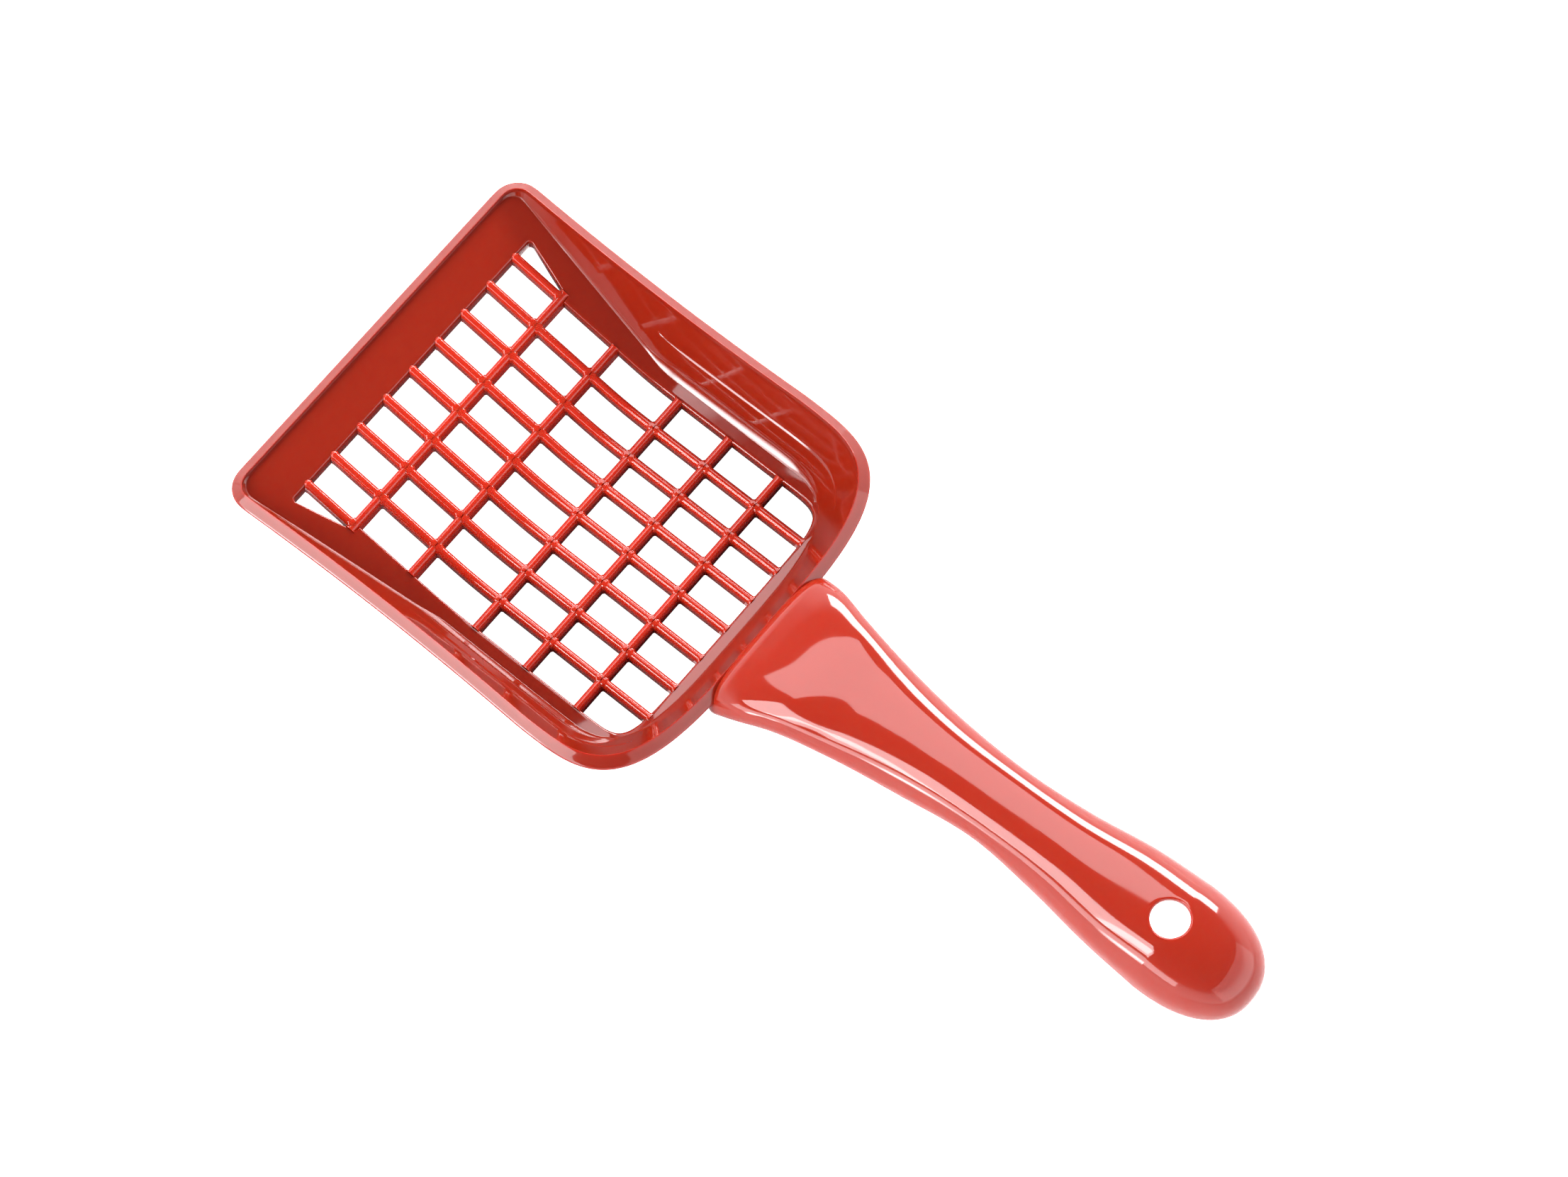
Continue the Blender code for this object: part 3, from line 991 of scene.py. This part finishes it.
    def hollow(self, y: np.ndarray) -> np.ndarray:
        """The hollow's surface, section by section beside the outer one.

        Args:
            y: Where the outer sections stand.

        Returns:
            An array of sections by points by three.
        """
        end = self.stations[-1][0]
        reach = self.layout.length - end
        place = np.where(y > end, end + (y - end) * (reach - self.thickness) / reach, y)
        half, low, crown = self.values(np.minimum(y, end))
        closing = superellipse(np.clip((y - end) / reach, 0.0, 1.0), self.power)
        half = np.maximum(half - self.thickness, 0.05) * closing
        crown = low + np.maximum(crown - self.thickness - low, 0.02) * closing
        return self.arch(y, np.maximum(place, self.start + 0.01), (half, low, crown))

    def lower_edge(self, outer: np.ndarray, inner: np.ndarray) -> list[np.ndarray]:
        """Rings of points that round the skirts' lower edge, from the outer surface to the inner.

        Args:
            outer: The outer surface's grid.
            inner: The hollow's grid.

        Returns:
            Lines of points for the left skirt and for the right one.
        """
        rings = []
        for side in (0, -1):
            a, b = outer[:, side], inner[:, side]
            for share, drop in self.edge_roll:
                line = a + (b - a) * share
                line[:, 2] -= drop
                rings.append(line)
        return rings

    def edges(
        self, lines: list[np.ndarray], rows: int, columns: int, start: int
    ) -> tuple[list[np.ndarray], list[tuple[int, ...]], int]:
        """Faces along the skirts' lower edge.

        Args:
            lines: The lines from lower_edge.
            rows: How many sections there are.
            columns: How many points a section has.
            start: The number of the first new point.

        Returns:
            The new points, the faces and the number of the next point.
        """
        faces: list[tuple[int, ...]] = []
        count = len(lines) // 2
        for side, column in enumerate((0, columns - 1)):
            ids = [[i * columns + column for i in range(rows)]]
            for k in range(count):
                first = start + (side * count + k) * rows
                ids.append([first + i for i in range(rows)])
            ids.append([rows * columns + i * columns + column for i in range(rows)])
            for a, b in zip(ids, ids[1:]):
                for i in range(rows - 1):
                    quad = (a[i], b[i], b[i + 1], a[i + 1])
                    faces.append(quad if side == 0 else quad[::-1])
        return lines, faces, start + len(lines) * rows

    def hole(
        self, outer: np.ndarray, inner: np.ndarray, block: tuple[int, int, int, int], start: int
    ) -> tuple[list[np.ndarray], list[tuple[int, ...]]]:
        """The hanging hole: the surface drawn in to a round, softened edge on both sides.

        Args:
            outer: The outer surface's grid.
            inner: The hollow's grid.
            block: First and last row and column of the patch that the hole replaces.
            start: The number of the first new point.

        Returns:
            The new points and the faces.
        """
        rows, columns = outer.shape[:2]
        r0, r1, c0, c1 = block
        loop = [(r0, j) for j in range(c0, c1)] + [(i, c1) for i in range(r0, r1)]
        loop += [(r1, j) for j in range(c1, c0, -1)] + [(i, c0) for i in range(r1, r0, -1)]
        count = len(loop)
        outer_ids = [i * columns + j for i, j in loop]
        inner_ids = [rows * columns + i * columns + j for i, j in loop]
        outer_rim = np.array([outer[i, j] for i, j in loop])
        inner_rim = np.array([inner[i, j] for i, j in loop])
        angle = np.arctan2(outer_rim[:, 1] - self.hole_place, outer_rim[:, 0])
        rings: list[np.ndarray] = []

        def ring(radius: float, inset: float, drop: float) -> np.ndarray:
            """A circle of points round the hole's middle.

            Args:
                radius: The circle's radius.
                inset: How far its surface lies inside the outer one.
                drop: How far it lies below that surface.

            Returns:
                The points.
            """
            x = radius * np.cos(angle)
            y = self.hole_place + radius * np.sin(angle)
            return np.column_stack([x, y, self.height(x, y, inset) - drop])

        r, e = self.hole_radius, self.hole_edge
        wide = ring(r + e, 0.0, 0.0)
        for share in (0.15, 0.32, 0.5, 0.68, 0.85):
            plan = outer_rim + (wide - outer_rim) * share
            plan[:, 2] = self.height(plan[:, 0], plan[:, 1], 0.0)
            rings.append(plan)
        rings.append(wide)
        for turn in spread(0.0, math.pi / 2, 6)[1:]:
            rings.append(ring(r + e * (1 - math.sin(turn)), 0.0, e * (1 - math.cos(turn))))
        deep = self.thickness
        for turn in spread(math.pi / 2, 0.0, 4)[:-1]:
            rings.append(ring(r + e * (1 - math.sin(turn)), deep, -e * (1 - math.cos(turn))))
        wide_in = ring(r + e, deep, 0.0)
        rings.append(wide_in)
        for share in (0.35, 0.7):
            rings.append(wide_in + (inner_rim - wide_in) * share)
        faces: list[tuple[int, ...]] = []
        ids = [outer_ids]
        ids += [[start + k * count + i for i in range(count)] for k in range(len(rings))]
        ids.append(inner_ids)
        for a, b in zip(ids, ids[1:]):
            for i in range(count):
                j = (i + 1) % count
                faces.append((a[i], b[i], b[j], a[j]))
        return rings, faces

    def build(self) -> None:
        """Builds the shell in place of the handle's CAD nodes."""
        points, faces = self.shell()
        nodes = ["handle_root", "handle_neck", "handle_grip"]
        self.moulder.piece("handle_shell", points, faces, nodes)


@dataclass(frozen=True)
class Lamp:
    """One softbox: where it hangs, how large and bright it is, and how wide its grid lets it shine."""

    name: str
    direction: tuple[float, float, float]
    distance: float
    size: tuple[float, float]
    power: float
    spread: float = 180.0
    aim: tuple[float, float, float] = (0.0, 0.0, 0.02)


@dataclass
class Studio:
    """A pale table, a bright surround with a dark ceiling, softboxes and the camera."""

    camera_place: tuple[float, float, float] = (0.32489, 0.26277, 1.24941)
    camera_turn: tuple[float, float, float] = (19.64, 0.0, 129.43)
    lens: float = 115.2
    table_size: float = 6.0
    table_tone: float = 0.9
    table_glow: float = 1.2
    table_height: float = -0.0003
    shade_size: tuple[float, float] = (0.094, 0.112)
    shade_middle: float = -0.082
    shade_tone: float = 0.14
    shade_height: float = -0.0002
    sky: tuple[tuple[float, tuple[float, float, float]], ...] = (
        (0.0, (1.0, 1.0, 1.0)),
        (0.38, (0.75, 0.75, 0.76)),
        (0.55, (0.12, 0.12, 0.13)),
        (1.0, (0.04, 0.04, 0.045)),
    )
    sky_strength: float = 2.4
    lamps: tuple[Lamp, ...] = (
        Lamp("front_softbox", (-0.335, -0.47, 0.82), 1.6, (1.25, 0.64), 13.0),
        Lamp("right_strip", (-0.882, -0.287, 0.375), 1.5, (1.24, 0.42), 33.0),
        Lamp(
            "crease_strip",
            (0.929, -0.245, 0.277),
            1.5,
            (0.42, 0.46),
            0.07,
            spread=12.0,
            aim=(-0.046, -0.062, 0.0),
        ),
        Lamp("left_strip", (0.69, -0.214, 0.69), 1.5, (0.28, 0.42), 3.8),
        Lamp("left_window", (0.53, -0.42, 0.735), 1.5, (0.8, 0.56), 14.0),
        Lamp("left_low", (0.88, -0.2, 0.4), 1.7, (1.8, 0.42), 13.0),
        Lamp("rear_softbox", (-0.2, 0.88, 0.4), 1.6, (2.4, 1.1), 11.0),
    )

    def build_camera(self) -> None:
        """Makes the camera and sets it as the scene's own."""
        data = bpy.data.cameras.new("camera")
        data.lens = self.lens
        data.sensor_width = 36.0
        camera = bpy.data.objects.new("camera", data)
        camera.location = self.camera_place
        camera.rotation_euler = [math.radians(angle) for angle in self.camera_turn]
        bpy.context.scene.collection.objects.link(camera)
        bpy.context.scene.camera = camera

    def lay_sheet(
        self, name: str, finish: str, size: tuple[float, float], place: tuple[float, float], tone: float
    ) -> None:
        """Lays a flat sheet of the stage, with a plain material that the camera sees as white.

        Args:
            name: The sheet's name.
            finish: Its material's name.
            size: How wide and how deep it is.
            place: Where its middle is along Y, and its height.
            tone: How much light it gives back.
        """
        wide, deep = size[0] / 2, size[1] / 2
        middle, height = place
        corners = ((-wide, -deep), (wide, -deep), (wide, deep), (-wide, deep))
        mesh = bpy.data.meshes.new(name)
        mesh.from_pydata([(x, y + middle, height) for x, y in corners], [], [(0, 1, 2, 3)])

        material = bpy.data.materials.new(finish)
        material.use_nodes = True
        nodes, links = material.node_tree.nodes, material.node_tree.links
        shader = nodes["Principled BSDF"]
        shader.inputs["Base Color"].default_value = (tone, tone, tone, 1.0)
        shader.inputs["Roughness"].default_value = 0.9
        shader.inputs["Emission Color"].default_value = (1.0, 1.0, 1.0, 1.0)
        seen = nodes.new("ShaderNodeMath")
        seen.operation = "MULTIPLY"
        seen.inputs[1].default_value = self.table_glow
        links.new(nodes.new("ShaderNodeLightPath").outputs["Is Camera Ray"], seen.inputs[0])
        links.new(seen.outputs["Value"], shader.inputs["Emission Strength"])
        mesh.materials.append(material)

        sheet = bpy.data.objects.new(name, mesh)
        bpy.context.scene.collection.objects.link(sheet)

    def build_table(self) -> None:
        """Lays the pale table, and the card under the pan that keeps its reflections calm."""
        side = (self.table_size, self.table_size)
        self.lay_sheet("table", "pale_table", side, (0.0, self.table_height), self.table_tone)
        card = (self.shade_middle, self.shade_height)
        self.lay_sheet("shade_card", "shaded_table", self.shade_size, card, self.shade_tone)

    def build_surround(self) -> None:
        """Makes a world that is bright near the horizon and dark overhead."""
        world = bpy.data.worlds.new("surround")
        bpy.context.scene.world = world
        world.use_nodes = True
        nodes, links = world.node_tree.nodes, world.node_tree.links
        split = nodes.new("ShaderNodeSeparateXYZ")
        links.new(nodes.new("ShaderNodeTexCoord").outputs["Generated"], split.inputs["Vector"])
        ramp = nodes.new("ShaderNodeValToRGB")
        stops = ramp.color_ramp.elements
        stops[0].position, stops[0].color = self.sky[0][0], (*self.sky[0][1], 1.0)
        stops[1].position, stops[1].color = self.sky[-1][0], (*self.sky[-1][1], 1.0)
        for place, colour in self.sky[1:-1]:
            stops.new(place).color = (*colour, 1.0)
        links.new(split.outputs["Z"], ramp.inputs["Fac"])
        background = nodes["Background"]
        links.new(ramp.outputs["Color"], background.inputs["Color"])
        background.inputs["Strength"].default_value = self.sky_strength

    def build_lamps(self) -> None:
        """Hangs the softboxes."""
        for lamp in self.lamps:
            target = Vector(lamp.aim)
            data = bpy.data.lights.new(lamp.name, "AREA")
            data.shape = "RECTANGLE"
            data.size, data.size_y = lamp.size
            data.energy = lamp.power
            data.spread = math.radians(lamp.spread)
            place = target + Vector(lamp.direction).normalized() * lamp.distance
            light = bpy.data.objects.new(lamp.name, data)
            light.location = place
            light.rotation_euler = (target - place).to_track_quat("-Z", "Y").to_euler()
            bpy.context.scene.collection.objects.link(light)

    def build(self) -> None:
        """Sets up everything round the scoop."""
        bpy.context.scene.view_settings.view_transform = "Standard"
        self.build_camera()
        self.build_table()
        self.build_surround()
        self.build_lamps()


def main() -> None:
    """Builds the scoop's pieces in order, then the studio round them."""
    logging.basicConfig(level=logging.INFO, format="%(name)s: %(message)s")
    layout = Layout.from_frame()
    # One red plastic in three brightnesses. The pan's copy is darker: painted shade inside the pan.
    shaded_pan_plastic = GlossyPlastic("shaded_pan_red_plastic").build()
    # The bars' copy is lighter: painted light on the bars' sides, which the lamps reach too little.
    lightened_bar_plastic = GlossyPlastic(
        "lightened_bar_red_plastic", colour=(0.43, 0.0215, 0.0075), deeper=(0.41, 0.02, 0.007)
    ).build()
    # The handle's copy is lighter than the pan's: painted light on the handle's open top.
    lit_handle_plastic = GlossyPlastic(
        "lit_handle_red_plastic", colour=(0.305, 0.0192, 0.0082), deeper=(0.29, 0.0178, 0.0075)
    ).build()
    parts = (
        Pan(layout, Moulder(layout, shaded_pan_plastic)),
        Grid(layout, Moulder(layout, lightened_bar_plastic)),
        Handle(layout, Moulder(layout, lit_handle_plastic)),
        Studio(),
    )
    for part in parts:
        part.build()
        LOG.info("%s is built", type(part).__name__)


if __name__ == "__main__":
    main()
